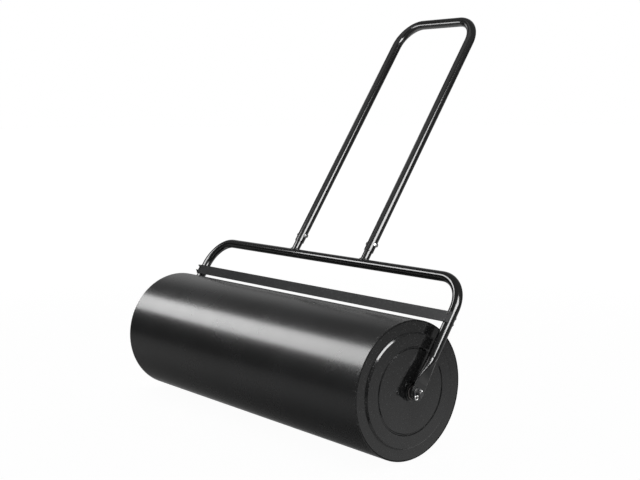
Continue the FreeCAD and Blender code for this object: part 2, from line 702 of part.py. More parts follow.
def weld(tag, side):
    """Fillet weld that follows the saddle where a spigot meets the crossbar."""
    leg = dim("weld_leg")
    up = primitive("Part::Cylinder", tag + "_weld_up",
                   {"Radius": SPR + leg, "Height": YR * 2.0}, (HH * side, dim(0), REACH))
    along = primitive("Part::Cylinder", tag + "_weld_along",
                      {"Radius": YR + leg, "Height": SPR * 4.0},
                      (HH * side - SPR * 2.0, dim(0), REACH), ((0, 1, 0), 90))
    both = doc.addObject("Part::Common", tag + "_weld_blank")
    both.Base, both.Tool = up, along
    tube = primitive("Part::Cylinder", tag + "_weld_tube",
                     {"Radius": SPR, "Height": YR * 4.0}, (HH * side, dim(0), REACH - YR))
    bar = primitive("Part::Cylinder", tag + "_weld_bar",
                    {"Radius": YR, "Height": SPR * 6.0},
                    (HH * side - SPR * 3.0, dim(0), REACH), ((0, 1, 0), 90))
    first = doc.addObject("Part::Cut", tag + "_weld_bored")
    first.Base, first.Tool = both, tube
    second = doc.addObject("Part::Cut", tag + "_weld_seat")
    second.Base, second.Tool = first, bar
    doc.recompute()
    return second


spigot_welds = doc.addObject("Part::Compound", "spigot_welds")
spigot_welds.Label = "spigot_welds"
spigot_welds.Links = [weld("right", 1.0), weld("left", -1.0)]
doc.recompute()
stand(spigot_welds, lean=True)
keep(spigot_welds)

# ------------------------------------------------------------------- handle
handle_tube = keep(new_body("handle_tube"))
bent_tube(handle_tube, "handle", HH, "handle_low", "handle_top", "handle_bend",
          "handle_radius", "handle_wall")
holes = new_sketch(handle_tube, "handle_bolt_holes", "YZ_Plane")
circle(holes, 0, "bolt_station", "bolt_hole")
pocket(handle_tube, holes, "handle_drill", HH * 2.0 + dim("handle_radius") * 4.0)
stand(handle_tube, lean=True)


def prism(name, flats, height, place, turn):
    """Six-sided head or nut; flats is the width across flats."""
    return primitive("Part::Prism", name,
                     {"Circumradius": dim(flats) * 0.5773502691896258, "Height": height}, place, turn)


def fuse(name, pieces):
    whole = doc.addObject("Part::MultiFuse", name)
    whole.Shapes = pieces
    doc.recompute()
    return whole


def cut(name, base, tool):
    whole = doc.addObject("Part::Cut", name)
    whole.Base, whole.Tool = base, tool
    doc.recompute()
    return whole


def group(label, pieces):
    whole = doc.addObject("Part::Compound", label)
    whole.Label = label
    whole.Links = pieces
    doc.recompute()
    stand(whole, lean=True)
    keep(whole)
    return whole


ALONG_X = ((0, 1, 0), 90)
HR = dim("handle_radius")
BS = dim("bolt_station")
FW = dim("flat_washer_wall")
bolts, nuts, flats = [], [], []
for tag, side in (("right", 1.0), ("left", -1.0)):
    centre = HH * side
    zero = dim(0)
    head = prism(tag + "_bolt_head", "bolt_flats", "bolt_head",
                 (centre - HR - dim("bolt_head"), zero, BS), ALONG_X)
    grip = HR * 2.0 + FW + dim("nut_height") + dim("bolt_tail")
    shank = primitive("Part::Cylinder", tag + "_bolt_shank",
                      {"Radius": "bolt_radius", "Height": grip + 0.5},
                      (centre - HR - 0.5, zero, BS), ALONG_X)
    bolts.append(fuse(tag + "_handle_bolt", [head, shank]))
    blank = prism(tag + "_nut_blank", "bolt_flats", "nut_height",
                  (centre + HR + FW, zero, BS), ALONG_X)
    bore = primitive("Part::Cylinder", tag + "_nut_bore",
                     {"Radius": "bolt_radius", "Height": dim("nut_height") * 3.0},
                     (centre + HR + FW - dim("nut_height"), zero, BS), ALONG_X)
    nuts.append(cut(tag + "_handle_nut", blank, bore))
    blank = primitive("Part::Cylinder", tag + "_flat_blank",
                      {"Radius": "flat_washer_radius", "Height": FW},
                      (centre + HR, zero, BS), ALONG_X)
    bore = primitive("Part::Cylinder", tag + "_flat_bore",
                     {"Radius": "bolt_hole", "Height": FW * 3.0},
                     (centre + HR - FW, zero, BS), ALONG_X)
    flats.append(cut(tag + "_flat_washer", blank, bore))
group("handle_bolts", bolts)
group("handle_nuts", nuts)
group("handle_washers", flats)

# -------------------------------------------------------------- scraper bar
SW = dim("scraper_wall")
SM = dim("scraper_middle")
scraper_bar = keep(new_body("scraper_bar"))
strip = new_sketch(scraper_bar, "strip_outline", "XZ_Plane", YR)
wide = dim("scraper_width") * 0.5
right_end, left_end = dim("scraper_right"), -dim("scraper_left")
polygon(strip, [(left_end, SM - wide), (right_end, SM - wide),
                (right_end, SM + wide), (left_end, SM + wide)])
for side in (1.0, -1.0):
    for lift in (1.0, -1.0):
        circle(strip, arm * side, SM + dim("screw_spread") * lift, "screw_hole")
pad(scraper_bar, strip, "strip", SW)
stand(scraper_bar, lean=True)

# Round-head screws through bar and arm. On the right the heads are at the
# front and the nuts behind the arm, on the left the other way round.
FRONT = YR + SW
screws, screw_nuts = [], []
for tag, side in (("right", 1.0), ("left", -1.0)):
    for level, lift in (("upper", 1.0), ("lower", -1.0)):
        name = "%s_%s_screw" % (tag, level)
        px = arm * side
        pz = SM + dim("screw_spread") * lift
        grip = YR + FRONT + dim("screw_nut") + dim("screw_tail" if side > 0 else "screw_tail_left")
        if side > 0:
            start = -FRONT          # head face at the front of the bar
            turn = ((1, 0, 0), -90)  # shank runs towards the back
            sign = 1.0
        else:
            start = YR
            turn = ((1, 0, 0), 90)
            sign = -1.0
        head = primitive("Part::Cylinder", name + "_head",
                         {"Radius": "screw_head_radius", "Height": "screw_head"},
                         (px, start - dim("screw_head") * sign, pz), turn)
        dome = doc.addObject("Part::Fillet", name + "_dome")
        dome.Base = head
        doc.recompute()
        rim = [k for k, e in enumerate(head.Shape.Edges, start=1)
               if hasattr(e.Curve, "Radius") and abs(e.CenterOfMass.y - (start - dim("screw_head") * sign).value) < 1e-6]
        dome.Edges = [(rim[0], 0.8, 0.8)]
        shank = primitive("Part::Cylinder", name + "_shank",
                          {"Radius": "screw_radius", "Height": grip + 0.5},
                          (px, start - dim(0.5 * sign), pz), turn)
        screws.append(fuse(name, [dome, shank]))
        far = (dim(YR) if side > 0 else -FRONT)
        blank = prism(name + "_nut_blank", "screw_nut_flats", "screw_nut", (px, far, pz), turn)
        bore = primitive("Part::Cylinder", name + "_nut_bore",
                         {"Radius": "screw_radius", "Height": dim("screw_nut") * 3.0},
                         (px, far - dim("screw_nut") * sign, pz), turn)
        screw_nuts.append(cut(name + "_nut", blank, bore))
group("scraper_screws", screws)
group("scraper_nuts", screw_nuts)

# ------------------------------------------------------- checks and writing
doc.recompute()
for obj in doc.Objects:
    state = list(obj.State)
    if "Invalid" in state or "Error" in state:
        raise RuntimeError("%s is in state %s" % (obj.Name, state))
for obj in NODES:
    shape = obj.Shape
    if shape.isNull() or not shape.isValid():
        raise RuntimeError("%s has a bad shape" % obj.Label)
    if not shape.Solids:
        raise RuntimeError("%s holds no solid" % obj.Label)
for obj in NODES:
    obj.Shape.exportStep("parts/%s.step" % obj.Label)
    box = obj.Shape.BoundBox
    print("%-16s solids %d volume %10.1f  x %7.1f %7.1f  y %7.1f %7.1f  z %7.1f %7.1f" % (
        obj.Label, len(obj.Shape.Solids), obj.Shape.Volume,
        box.XMin, box.XMax, box.YMin, box.YMax, box.ZMin, box.ZMax))
print("nodes", len(NODES))
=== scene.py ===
import json
import math
import bpy
import bmesh
from mathutils import Matrix, Vector


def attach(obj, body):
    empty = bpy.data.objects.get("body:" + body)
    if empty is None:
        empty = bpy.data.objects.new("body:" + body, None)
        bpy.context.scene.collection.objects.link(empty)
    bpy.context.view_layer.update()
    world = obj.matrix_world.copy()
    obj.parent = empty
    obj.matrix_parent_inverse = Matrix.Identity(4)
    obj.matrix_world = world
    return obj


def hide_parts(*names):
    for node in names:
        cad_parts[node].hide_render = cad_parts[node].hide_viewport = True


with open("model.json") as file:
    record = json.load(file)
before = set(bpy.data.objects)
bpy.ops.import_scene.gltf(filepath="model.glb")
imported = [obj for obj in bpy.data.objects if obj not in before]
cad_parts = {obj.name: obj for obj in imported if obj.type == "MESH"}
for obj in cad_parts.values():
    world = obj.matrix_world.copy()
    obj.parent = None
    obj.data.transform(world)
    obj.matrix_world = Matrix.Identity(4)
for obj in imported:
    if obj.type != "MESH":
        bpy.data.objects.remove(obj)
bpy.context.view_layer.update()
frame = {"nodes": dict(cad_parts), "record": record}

scene = bpy.context.scene
nodes = frame["nodes"]


# ------------------------------------------------------------------ materials
class Mat:
    """A node material with small helpers."""

    def __init__(self, name):
        self.m = bpy.data.materials.new(name)
        self.m.use_nodes = True
        self.nt = self.m.node_tree
        self.bsdf = self.nt.nodes["Principled BSDF"]
        self.x = 0
        self.coord = self.new("ShaderNodeTexCoord")

    def new(self, kind, **props):
        n = self.nt.nodes.new(kind)
        self.x -= 40
        n.location = (self.x * 4, 0)
        for k, v in props.items():
            setattr(n, k, v)
        return n

    def link(self, a, b):
        self.nt.links.new(a, b)

    def sock(self, name, value):
        self.bsdf.inputs[name].default_value = value

    def mapped(self, scale=(1, 1, 1), rot=(0, 0, 0)):
        n = self.new("ShaderNodeMapping")
        n.inputs["Scale"].default_value = scale
        n.inputs["Rotation"].default_value = rot
        self.link(self.coord.outputs["Object"], n.inputs["Vector"])
        return n.outputs["Vector"]

    def noise(self, vector, scale, detail=3.0, rough=0.5, distortion=0.0):
        n = self.new("ShaderNodeTexNoise")
        n.inputs["Scale"].default_value = scale
        n.inputs["Detail"].default_value = detail
        n.inputs["Roughness"].default_value = rough
        n.inputs["Distortion"].default_value = distortion
        self.link(vector, n.inputs["Vector"])
        return n.outputs["Fac"]

    def ramp(self, fac, lo, hi, a=0.0, b=1.0, smooth=True):
        n = self.new("ShaderNodeMapRange")
        n.interpolation_type = "SMOOTHSTEP" if smooth else "LINEAR"
        n.inputs["From Min"].default_value = lo
        n.inputs["From Max"].default_value = hi
        n.inputs["To Min"].default_value = a
        n.inputs["To Max"].default_value = b
        self.link(fac, n.inputs["Value"])
        return n.outputs["Result"]

    def math(self, op, a, b=None):
        n = self.new("ShaderNodeMath", operation=op)
        for i, v in enumerate((a, b)):
            if v is None:
                continue
            if isinstance(v, (int, float)):
                n.inputs[i].default_value = v
            else:
                self.link(v, n.inputs[i])
        return n.outputs[0]

    def mix(self, fac, a, b):
        n = self.new("ShaderNodeMix", data_type="RGBA")
        for name, v in (("Factor", fac), ("A", a), ("B", b)):
            s = [i for i in n.inputs if i.name == name and i.type == ("VALUE" if name == "Factor" else "RGBA")][0]
            if isinstance(v, (int, float)):
                s.default_value = v
            elif isinstance(v, tuple):
                s.default_value = v
            else:
                self.link(v, s)
        return [o for o in n.outputs if o.type == "RGBA"][0]

    def bump(self, height, strength, distance, under=None):
        n = self.new("ShaderNodeBump")
        n.inputs["Strength"].default_value = strength
        n.inputs["Distance"].default_value = distance
        self.link(height, n.inputs["Height"])
        if under is not None:
            self.link(under, n.inputs["Normal"])
        return n.outputs["Normal"]


def grey(v, tint=0.0):
    return (v * (1 - tint), v, v * (1 + tint), 1.0)


def enamel(name, dark, light, rough, coat, coat_rough, peel=1.0, dust=0.0, wear_at=None):
    """Gloss black paint on steel: faint cloudy tone, orange peel, a little dust and scuffs."""
    m = Mat(name)
    v = m.mapped()
    cloud = m.noise(v, 4.0, 4.0, 0.55)
    base = m.mix(m.ramp(cloud, 0.3, 0.72), dark, light)
    if dust:
        speck = m.noise(v, 420.0, 2.0, 0.6)
        base = m.mix(m.ramp(speck, 0.70, 0.80, 0.0, dust), base, grey(0.035))
    smudge = m.noise(v, 9.0, 5.0, 0.6, 0.4)
    r = m.ramp(smudge, 0.35, 0.7, rough - 0.015, rough + 0.02)
    if wear_at is not None:
        # Rubbed paint where the piece meets the ground or a hand.
        wear = wear_at(m, v)
        base = m.mix(wear, base, grey(0.06))
        r = m.math("ADD", r, m.math("MULTIPLY", wear, 0.25))
    m.link(base, m.bsdf.inputs["Base Color"])
    m.link(r, m.bsdf.inputs["Roughness"])
    orange = m.noise(v, 330.0, 2.0, 0.45)
    n = m.bump(orange, 0.6 * peel, 0.00002)
    wave = m.noise(v, 55.0, 2.0, 0.4)
    n = m.bump(wave, 0.5 * peel, 0.00006, n)
    m.link(n, m.bsdf.inputs["Normal"])
    m.sock("Metallic", 0.0)
    m.sock("IOR", 1.5)
    m.sock("Specular IOR Level", 0.5)
    m.sock("Coat Weight", coat)
    m.sock("Coat Roughness", coat_rough)
    m.sock("Coat IOR", 1.5)
    return m.m


def rim_wear(m, v):
    """Fine scuffs in the last few millimetres of the rolling surface."""
    sep = m.new("ShaderNodeSeparateXYZ")
    m.link(m.coord.outputs["Object"], sep.inputs[0])
    near = m.ramp(m.math("ABSOLUTE", sep.outputs["X"]), 0.437, 0.4508)
    chip = m.ramp(m.noise(v, 210.0, 5.0, 0.7), 0.56, 0.66)
    return m.math("MULTIPLY", m.math("MULTIPLY", near, chip), 0.6)


def grip_wear(m, v):
    """Paint rubbed a little duller along the top bar, where hands hold it."""
    sep = m.new("ShaderNodeSeparateXYZ")
    m.link(m.coord.outputs["Object"], sep.inputs[0])
    high = m.ramp(sep.outputs["Z"], 0.93, 0.965)
    rub = m.ramp(m.noise(v, 70.0, 5.0, 0.65), 0.5, 0.7)
    return m.math("MULTIPLY", m.math("MULTIPLY", high, rub), 0.18)


def satin_paint(name):
    """Satin dark grey coating on a flat steel strip, with a faint rolling grain."""
    m = Mat(name)
    v = m.mapped()
    grain = m.noise(m.mapped((3.0, 160.0, 160.0)), 3.0, 4.0, 0.55)
    cloud = m.noise(v, 9.0, 4.0, 0.6)
    base = m.mix(m.ramp(cloud, 0.3, 0.7), (0.064, 0.065, 0.067, 1), (0.078, 0.079, 0.081, 1))
    base = m.mix(m.ramp(grain, 0.45, 0.75, 0.0, 0.3), base, (0.092, 0.093, 0.096, 1))
    geo = m.new("ShaderNodeNewGeometry")
    edge = m.ramp(geo.outputs["Pointiness"], 0.56, 0.66)
    chip = m.ramp(m.noise(v, 160.0, 4.0, 0.7), 0.5, 0.64)
    wear = m.math("MULTIPLY", m.math("MULTIPLY", edge, chip), 0.5)
    base = m.mix(wear, base, grey(0.17))
    m.link(base, m.bsdf.inputs["Base Color"])
    m.link(m.ramp(grain, 0.3, 0.75, 0.50, 0.58), m.bsdf.inputs["Roughness"])
    n = m.bump(m.noise(v, 700.0, 3.0, 0.6), 0.5, 0.00002)
    n = m.bump(grain, 0.5, 0.00003, n)
    m.link(n, m.bsdf.inputs["Normal"])
    m.sock("Specular IOR Level", 0.4)
    return m.m


def black_zinc(name):
    """Black-plated steel: charcoal, satin, a little blue and brown in the plating."""
    m = Mat(name)
    v = m.mapped()
    mottle = m.noise(v, 130.0, 4.0, 0.6)
    base = m.mix(m.ramp(mottle, 0.3, 0.7), (0.020, 0.021, 0.024, 1), (0.040, 0.039, 0.038, 1))
    rub = m.ramp(m.noise(v, 420.0, 4.0, 0.7), 0.62, 0.74, 0.0, 0.4)
    base = m.mix(rub, base, grey(0.11))
    m.link(base, m.bsdf.inputs["Base Color"])
    m.link(m.ramp(mottle, 0.3, 0.75, 0.32, 0.46), m.bsdf.inputs["Roughness"])
    m.link(m.bump(m.noise(v, 1600.0, 3.0, 0.6), 0.6, 0.00001), m.bsdf.inputs["Normal"])
    m.sock("Specular IOR Level", 0.6)
    return m.m


def zinc(name, tone=0.62, rough=0.30):
    """Bright zinc plate: pale blue-grey metal, mottled, with fine machining lines."""
    m = Mat(name)
    v = m.mapped((1, 1, 1))
    mottle = m.noise(v, 160.0, 4.0, 0.6)
    base = m.mix(m.ramp(mottle, 0.3, 0.7), (tone * 0.86, tone * 0.87, tone * 0.88, 1), (tone, tone * 1.0, tone * 0.985, 1))
    stain = m.ramp(m.noise(v, 60.0, 5.0, 0.65, 0.6), 0.6, 0.75, 0.0, 0.5)
    base = m.mix(stain, base, (tone * 0.62, tone * 0.60, tone * 0.56, 1))
    m.link(base, m.bsdf.inputs["Base Color"])
    r = m.ramp(mottle, 0.3, 0.75, rough - 0.06, rough + 0.1)
    m.link(r, m.bsdf.inputs["Roughness"])
    n = m.bump(m.noise(v, 2400.0, 3.0, 0.6), 0.25, 0.0001)
    m.link(n, m.bsdf.inputs["Normal"])
    m.sock("Metallic", 1.0)
    return m.m


def nylon(name):
    m = Mat(name)
    v = m.mapped((1, 1, 1))
    cloud = m.noise(v, 70.0, 4.0, 0.6)
    base = m.mix(m.ramp(cloud, 0.3, 0.7), (0.022, 0.022, 0.023, 1), (0.036, 0.036, 0.038, 1))
    m.link(base, m.bsdf.inputs["Base Color"])
    m.link(m.ramp(cloud, 0.3, 0.7, 0.48, 0.58), m.bsdf.inputs["Roughness"])
    m.link(m.bump(m.noise(v, 1800.0, 3.0, 0.6), 0.15, 0.0001), m.bsdf.inputs["Normal"])
    return m.m


def rubber(name):
    m = Mat(name)
    v = m.mapped((1, 1, 1))
    cloud = m.noise(v, 90.0, 4.0, 0.6)
    base = m.mix(m.ramp(cloud, 0.3, 0.7), (0.012, 0.012, 0.012, 1), (0.028, 0.027, 0.026, 1))
    m.link(base, m.bsdf.inputs["Base Color"])
    m.link(m.ramp(cloud, 0.3, 0.7, 0.6, 0.75), m.bsdf.inputs["Roughness"])
    m.link(m.bump(m.noise(v, 1500.0, 4.0, 0.6), 0.3, 0.0002), m.bsdf.inputs["Normal"])
    return m.m


def primer(name):
    m = Mat(name)
    v = m.mapped((1, 1, 1))
    cloud = m.noise(v, 24.0, 5.0, 0.6)
    base = m.mix(m.ramp(cloud, 0.3, 0.7), (0.17, 0.15, 0.14, 1), (0.27, 0.25, 0.24, 1))
    rust = m.ramp(m.noise(v, 80.0, 6.0, 0.7, 0.3), 0.6, 0.72, 0.0, 0.6)
    base = m.mix(rust, base, (0.20, 0.085, 0.035, 1))
    m.link(base, m.bsdf.inputs["Base Color"])
    m.link(m.ramp(cloud, 0.3, 0.7, 0.55, 0.7), m.bsdf.inputs["Roughness"])
    m.link(m.bump(m.noise(v, 800.0, 4.0, 0.6), 0.3, 0.0003), m.bsdf.inputs["Normal"])
    return m.m


DRUM = enamel("drum_black_enamel", grey(0.0055), grey(0.0075, 0.02), 0.26, 0.30, 0.20, 0.6, 0.10, rim_wear)
# The end caps and hub rings get a lighter copy of the drum enamel: the lighter base is painted sheen, not a different
# paint.
CAP_PAINTED_SHEEN = enamel("cap_enamel_painted_sheen", grey(0.0085), grey(0.0115, 0.02), 0.17, 0.40, 0.11, 0.35, 0.03, rim_wear)
TUBE = enamel("tube_black_enamel", grey(0.0045), grey(0.0065, 0.02), 0.17, 0.5, 0.10, 0.3)
# The handle gets a lighter copy of the tube enamel: the lighter base is painted light, not a different paint; the
# rubbed patches on the top bar are real wear.
HANDLE_PAINTED_LIGHT = enamel("handle_enamel_painted_light", grey(0.007), grey(0.0095, 0.02), 0.17, 0.5, 0.10, 0.25, 0.0, grip_wear)
SCRAPER = satin_paint("scraper_satin_grey")
ZINC = zinc("zinc_plate")
BLACKZ = black_zinc("black_zinc_plate")
NYLON = nylon("nylon")
RUBBER = rubber("rubber")
PRIMER = primer("primer")

LOOKS = {
    "drum_paint": DRUM, "black_gloss_paint": TUBE, "scraper_paint": SCRAPER,
    "zinc_plate": ZINC, "black_zinc": BLACKZ, "primed_steel": PRIMER, "nylon": NYLON, "rubber_seal": RUBBER,
}
SLOT_OF = {s["node"]: s["material_slot"] for s in frame["record"]["subparts"]}
for name, obj in nodes.items():
    look = LOOKS[SLOT_OF[name]]
    # Caps and hub rings take the lighter copy of the drum enamel, whose brighter base is painted sheen.
    if name in ("right_end_cap", "left_end_cap", "right_hub_ring", "left_hub_ring"):
        look = CAP_PAINTED_SHEEN
    # The handle takes the lighter copy of the tube enamel, whose brighter base is painted light.
    if name == "handle_tube":
        look = HANDLE_PAINTED_LIGHT
    obj.data.materials.clear()
    obj.data.materials.append(look)

# --------------------------------------------------------------- detail pieces
LEAN = math.radians(34.3)
SIN, COS = math.sin(LEAN), math.cos(LEAN)


def lean(x, n, s):
    """A point given in millimetres across, through and up the leaning plane."""
    return Vector((x, s * SIN + n * COS, 152.5 + s * COS - n * SIN)) / 1000.0


def solid(name, loops, wrap):
    """A closed mesh through loops of points; wrap joins the last loop to the first."""
    bm = bmesh.new()
    rows = [[bm.verts.new(p) for p in loop] for loop in loops]
    count = len(rows[0])
    pairs = list(zip(rows, rows[1:])) + ([(rows[-1], rows[0])] if wrap else [])
    for a, b in pairs:
        for i in range(count):
            j = (i + 1) % count
            bm.faces.new((a[i], a[j], b[j], b[i]))
    if not wrap:
        bm.faces.new(rows[0])
        bm.faces.new(rows[-1])
    return bm


def piece(name, solids, body, look, replaced=()):
    mesh = bpy.data.meshes.new(name)
    whole = bmesh.new()
    for bm in solids:
        bmesh.ops.recalc_face_normals(bm, faces=bm.faces)
        part = bpy.data.meshes.new("part")
        bm.to_mesh(part)
        bm.free()
        whole.from_mesh(part)
        bpy.data.meshes.remove(part)
    whole.to_mesh(mesh)
    whole.free()
    for p in mesh.polygons:
        p.use_smooth = True
    mesh.set_sharp_from_angle(angle=math.radians(32))
    obj = bpy.data.objects.new(name, mesh)
    scene.collection.objects.link(obj)
    mesh.materials.append(look)
    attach(obj, body)
    if replaced:
        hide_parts(*replaced)
    return obj


SEGS = 72


def turned(place, rings, wrap=False):
    """Rings of (radius, height) or of functions of the angle, set out along an axis."""
    origin, along, side = place
    other = along.cross(side)
    loops = []
    for ring in rings:
        loop = []
        for k in range(SEGS):
            a = 2 * math.pi * k / SEGS
            r, h = ring(a) if callable(ring) else ring
            loop.append(origin + (along * h + side * (r * math.cos(a)) + other * (r * math.sin(a))) / 1000.0)
        loops.append(loop)
    return solid("turned", loops, wrap)


def hexagon(a, flats):
    return flats / 2 / math.cos((a % (math.pi / 3)) - math.pi / 6)


def hex_ring(flats, base, sign):
    """The wavy edge that a conical chamfer leaves on a hexagon."""
    flat = flats / 2 * 0.95
    return lambda a: (hexagon(a, flats), base + sign * (hexagon(a, flats) - flat) * math.tan(math.radians(28)))


def thread(radius, pitch, start, end):
    """Rings of a helical thread."""
    depth = 0.55 * pitch
    steps = max(2, int(math.ceil((end - start) / (pitch / 6))))
    rings = []
    for i in range(steps + 1):
        h = start + (end - start) * i / steps

        def ring(a, h=h):
            f = (h / pitch - a / (2 * math.pi)) % 1.0
            return radius - depth * (1 - abs(2 * f - 1)) ** 1.3, h
        rings.append(ring)
    return rings


def hex_bolt(place, flats, head, radius, length, pitch, threaded):
    """A hexagon head bolt; height 0 is the head's outer face."""
    flat = flats / 2 * 0.95
    rings = [(flat * 0.5, 0.0), (flat, 0.0), hex_ring(flats, 0.0, 1),
             lambda a: (hexagon(a, flats), head - 0.25), lambda a: (hexagon(a, flats) * 0.985, head),
             (radius, head), (radius, length - threaded)]
    rings += thread(radius, pitch, length - threaded + 0.1, length - 0.45)
    rings += [(radius - 0.6 * pitch, length), (radius * 0.4, length)]
    return turned(place, rings)


def hex_nut(place, flats, height, radius):
    """A hexagon nut, chamfered on both faces, with a countersunk thread."""
    flat = flats / 2 * 0.95
    bore = radius - 0.03
    rings = [(bore, 0.5), (bore + 0.45, 0.0), (flat, 0.0), hex_ring(flats, 0.0, 1),
             hex_ring(flats, height, -1), (flat, height), (bore + 0.45, height), (bore, height - 0.5)]
    return turned(place, rings, wrap=True)


def low_screw(place, head_radius, head, radius, length, pitch, threaded):
    """A low round head screw with a hexagon socket; height 0 is the top of the head."""
    rings = [lambda a: (hexagon(a, 2.5) * 0.5, 0.95), lambda a: (hexagon(a, 2.5), 0.9),
             lambda a: (hexagon(a, 2.5), 0.06), (1.75, 0.0), (2.4, 0.04), (3.1, 0.15),
             (3.7, 0.36), (4.05, 0.62), (head_radius, head - 0.12), (head_radius - 0.06, head),
             (radius, head), (radius, length - threaded)]
    rings += thread(radius, pitch, length - threaded + 0.1, length - 0.35)
    rings += [(radius - 0.6 * pitch, length), (radius * 0.4, length)]
    return turned(place, rings)


def weld(path, radius, ripples, count, around=14):
    """A weld bead along a closed path: overlapping scallops, a little uneven."""
    loops = []
    for i in range(count):
        t = 2 * math.pi * i / count
        here, out = path(t)
        ahead, _ = path(t + 1e-3)
        along = (ahead - here).normalized()
        out = (out - out.dot(along) * along).normalized()
        up = along.cross(out)
        f = (ripples * t / (2 * math.pi)) % 1.0
        swell = 0.90 + 0.16 * math.sqrt(max(0.0, 1 - (1.7 * f - 0.85) ** 2))
        swell *= 1 + 0.035 * math.sin(3 * t + 0.7) + 0.02 * math.sin(7 * t + 2.1)
        r = radius * swell / 1000.0
        shift = radius * 0.07 * math.sin(5 * t + 1.3) / 1000.0
        loops.append([here + up * shift + out * (r * math.cos(b)) + up * (r * math.sin(b))
                      for b in (2 * math.pi * k / around for k in range(around))])
    return solid("weld", loops, True)


def saddle(c):
    """Where a spigot stands on the crossbar."""
    def path(t):
        rho = 10.45
        n = rho * math.sin(t)
        s = 272.0 + math.sqrt(11.5 ** 2 - n * n * 0.985) + 0.45
        out = lean(math.cos(t), math.sin(t), 0.0) - lean(0, 0, 0)
        return lean(c + rho * math.cos(t), n, s), out.normalized()
    return path


def round_hub(x, radius):
    """Where a hub collar meets its end cap."""
    def path(t):
        out = Vector((0, math.cos(t), math.sin(t)))
        return Vector((x / 1000.0, 0, 0.1525)) + out * (radius / 1000.0), out
    return path


X = Vector((1, 0, 0))
UP_PLANE = Vector((0, SIN, COS))
THROUGH = Vector((0, COS, -SIN))
HANDLE_X = (-133.5, 133.5)

bolts, nuts, beads = [], [], []
for c in HANDLE_X:
    at_bolt = lean(c, 0, 325.0)
    turn_by = math.radians(11 if c < 0 else 24)
    side = UP_PLANE * math.cos(turn_by) + THROUGH * math.sin(turn_by)
    bolts.append(hex_bolt((at_bolt - X * 0.016, X, side), 10.0, 4.0, 3.0, 35.5, 1.0, 9.0))
    side = UP_PLANE * math.cos(turn_by + 0.5) + THROUGH * math.sin(turn_by + 0.5)
    nuts.append(hex_nut((at_bolt + X * 0.013, X, side), 10.0, 5.0, 3.0))
    beads.append(weld(saddle(c), 2.25, 23, 276))
BOLTS = piece("handle_bolts_hex", bolts, "frame", ZINC, ("handle_bolts",))
NUTS = piece("handle_nuts_hex", nuts, "frame", ZINC, ("handle_nuts",))
BEADS = piece("spigot_welds_bead", beads, "frame", TUBE, ("spigot_welds",))

screws, locks = [], []
for x, front in ((474.0, True), (-474.0, False)):
    for k, s in enumerate((176.2 - 7.5, 176.2 + 7.5)):
        a = 0.4 + 1.1 * k + (0.6 if front else 0.0)
        side = X * math.cos(a) + UP_PLANE * math.sin(a)
        if front:
            screws.append(low_screw((lean(x, -15.7, s), THROUGH, side), 4.2, 1.2, 2.0, 32.4, 0.7, 8.0))
            locks.append(hex_nut((lean(x, 11.5, s), THROUGH, side), 7.0, 3.2, 2.0))
        else:
            screws.append(low_screw((lean(x, 12.7, s), -THROUGH, side), 4.2, 1.2, 2.0, 35.4, 0.7, 11.0))
            locks.append(hex_nut((lean(x, -14.5, s), -THROUGH, side), 7.0, 3.2, 2.0))
SCREWS = piece("scraper_screws_socket", screws, "frame", BLACKZ, ("scraper_screws",))
LOCKS = piece("scraper_nuts_hex", locks, "frame", BLACKZ, ("scraper_nuts",))
# The hub welds use the caps' lighter enamel, whose brighter base is painted sheen.
HUB_R = piece("right_hub_weld", [weld(round_hub(456.2, 21.0), 1.2, 41, 328)], "drum", CAP_PAINTED_SHEEN)
HUB_L = piece("left_hub_weld", [weld(round_hub(-456.2, 21.0), 1.2, 41, 328)], "drum", CAP_PAINTED_SHEEN)

# ---------------------------------------------------------------------- stage
floor_mesh = bpy.data.meshes.new("floor")
bm = bmesh.new()
bmesh.ops.create_circle(bm, cap_ends=True, cap_tris=False, segments=96, radius=40.0)
bm.to_mesh(floor_mesh)
bm.free()
floor = bpy.data.objects.new("floor", floor_mesh)
scene.collection.objects.link(floor)
fm = Mat("pale_floor")
dist = fm.new("ShaderNodeVectorMath", operation="LENGTH")
fm.link(fm.coord.outputs["Object"], dist.inputs[0])
far = fm.ramp(dist.outputs["Value"], 1.2, 5.0)
fm.sock("Base Color", (0.20, 0.20, 0.20, 1))
fm.sock("Roughness", 0.9)
fm.sock("Specular IOR Level", 0.0)
fm.sock("Emission Color", (1, 1, 1, 1))
fm.link(fm.math("ADD", fm.math("MULTIPLY", far, 0.05), 0.965), fm.bsdf.inputs["Emission Strength"])
floor_mesh.materials.append(fm.m)
floor.visible_glossy = False

# World: white behind the object, a dim grey studio in the reflections.
world = bpy.data.worlds.new("studio")
scene.world = world
world.use_nodes = True
nt = world.node_tree
nt.nodes.clear()


def wn(kind, **props):
    n = nt.nodes.new(kind)
    for k, v in props.items():
        setattr(n, k, v)
    return n


out = wn("ShaderNodeOutputWorld")
back = wn("ShaderNodeBackground")
back.inputs["Color"].default_value = (1, 1, 1, 1)
back.inputs["Strength"].default_value = 1.0
dim = wn("ShaderNodeBackground")
pick = wn("ShaderNodeMixShader")
path = wn("ShaderNodeLightPath")
coord = wn("ShaderNodeTexCoord")
sep = wn("ShaderNodeSeparateXYZ")
nt.links.new(coord.outputs["Generated"], sep.inputs[0])
ramp = wn("ShaderNodeValToRGB")
half = wn("ShaderNodeMath", operation="MULTIPLY_ADD")
half.inputs[1].default_value = 0.5
half.inputs[2].default_value = 0.5
nt.links.new(sep.outputs["Z"], half.inputs[0])
nt.links.new(half.outputs[0], ramp.inputs["Fac"])


def at(sin_el):
    return 0.5 + 0.5 * math.sin(math.radians(sin_el))


stops = [(-90, 0.50), (-58, 0.46), (-46, 0.04), (-18, 0.21), (-12, 0.19), (-3, 0.015), (5, 0.015), (16, 0.10), (90, 0.14)]
while len(ramp.color_ramp.elements) < len(stops):
    ramp.color_ramp.elements.new(0.5)
for e, (el, v) in zip(ramp.color_ramp.elements, stops):
    e.position = at(el)
    e.color = (v, v, v, 1)
ramp.color_ramp.interpolation = "EASE"


